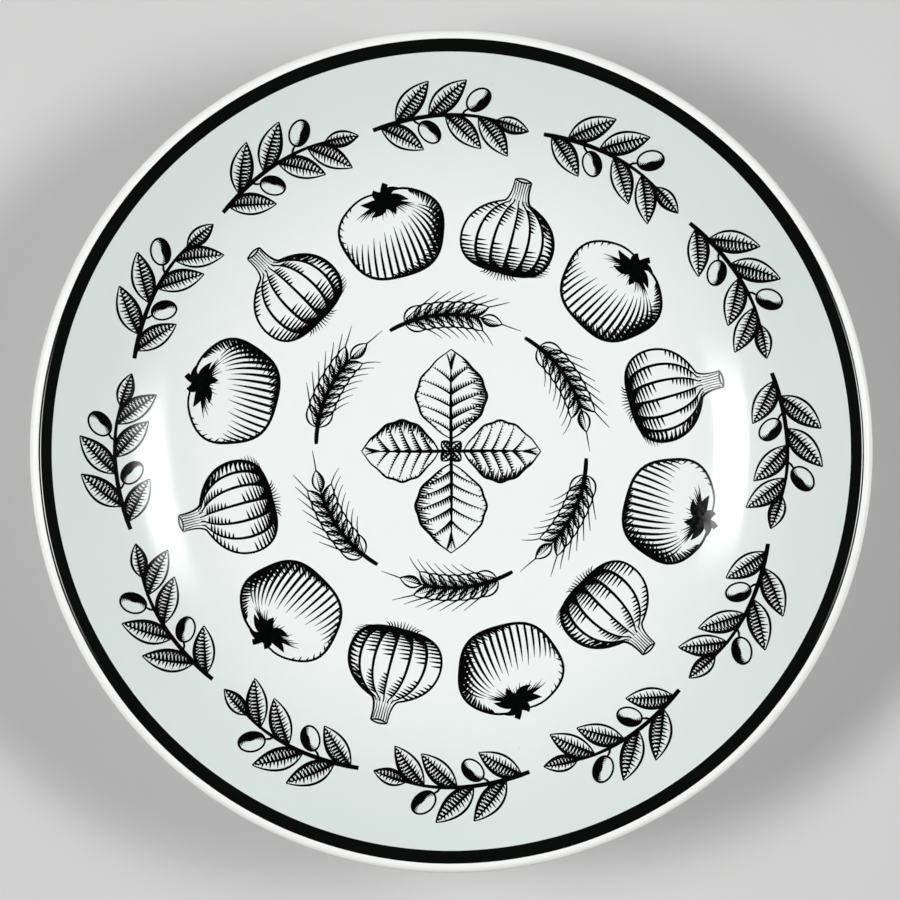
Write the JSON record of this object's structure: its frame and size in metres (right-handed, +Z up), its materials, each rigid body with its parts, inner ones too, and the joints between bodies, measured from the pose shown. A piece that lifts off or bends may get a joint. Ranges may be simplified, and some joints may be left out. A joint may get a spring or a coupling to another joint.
{
  "type": "serving bowl",
  "caption": "Wide, shallow glazed serving bowl with a flared wall, rolled lip, black band inside the rim, black kitchen-garden print and a bare clay foot ring.",
  "frame": {"origin": "on the bowl's axis, in the plane of the foot ring's bearing face", "axes": "+Z up along the bowl's axis, out of its mouth; +X to the right and +Y away in the picture's view from above"},
  "size_m": [0.33, 0.33, 0.0602],
  "materials": {
    "clay": "matte",
    "white_glaze": "gloss",
    "black_band": "gloss",
    "black_print": "gloss"
  },
  "bodies": {
    "root": {"bowl_body": "clay", "foot_ring": "clay", "inside_glaze": "white_glaze", "rim_band": "black_band", "outside_glaze": "white_glaze", "base_glaze": "white_glaze", "olive_print_01": "black_print", "olive_print_02": "black_print", "olive_print_03": "black_print", "olive_print_04": "black_print", "olive_print_05": "black_print", "olive_print_06": "black_print", "olive_print_07": "black_print", "olive_print_08": "black_print", "olive_print_09": "black_print", "olive_print_10": "black_print", "olive_print_11": "black_print", "olive_print_12": "black_print", "tomato_print_01": "black_print", "tomato_print_02": "black_print", "tomato_print_03": "black_print", "tomato_print_04": "black_print", "tomato_print_05": "black_print", "tomato_print_06": "black_print", "garlic_print_01": "black_print", "garlic_print_02": "black_print", "garlic_print_03": "black_print", "garlic_print_04": "black_print", "garlic_print_05": "black_print", "garlic_print_06": "black_print", "wheat_print_01": "black_print", "wheat_print_02": "black_print", "wheat_print_03": "black_print", "wheat_print_04": "black_print", "wheat_print_05": "black_print", "wheat_print_06": "black_print", "basil_print": "black_print"}
  },
  "joints": []
}
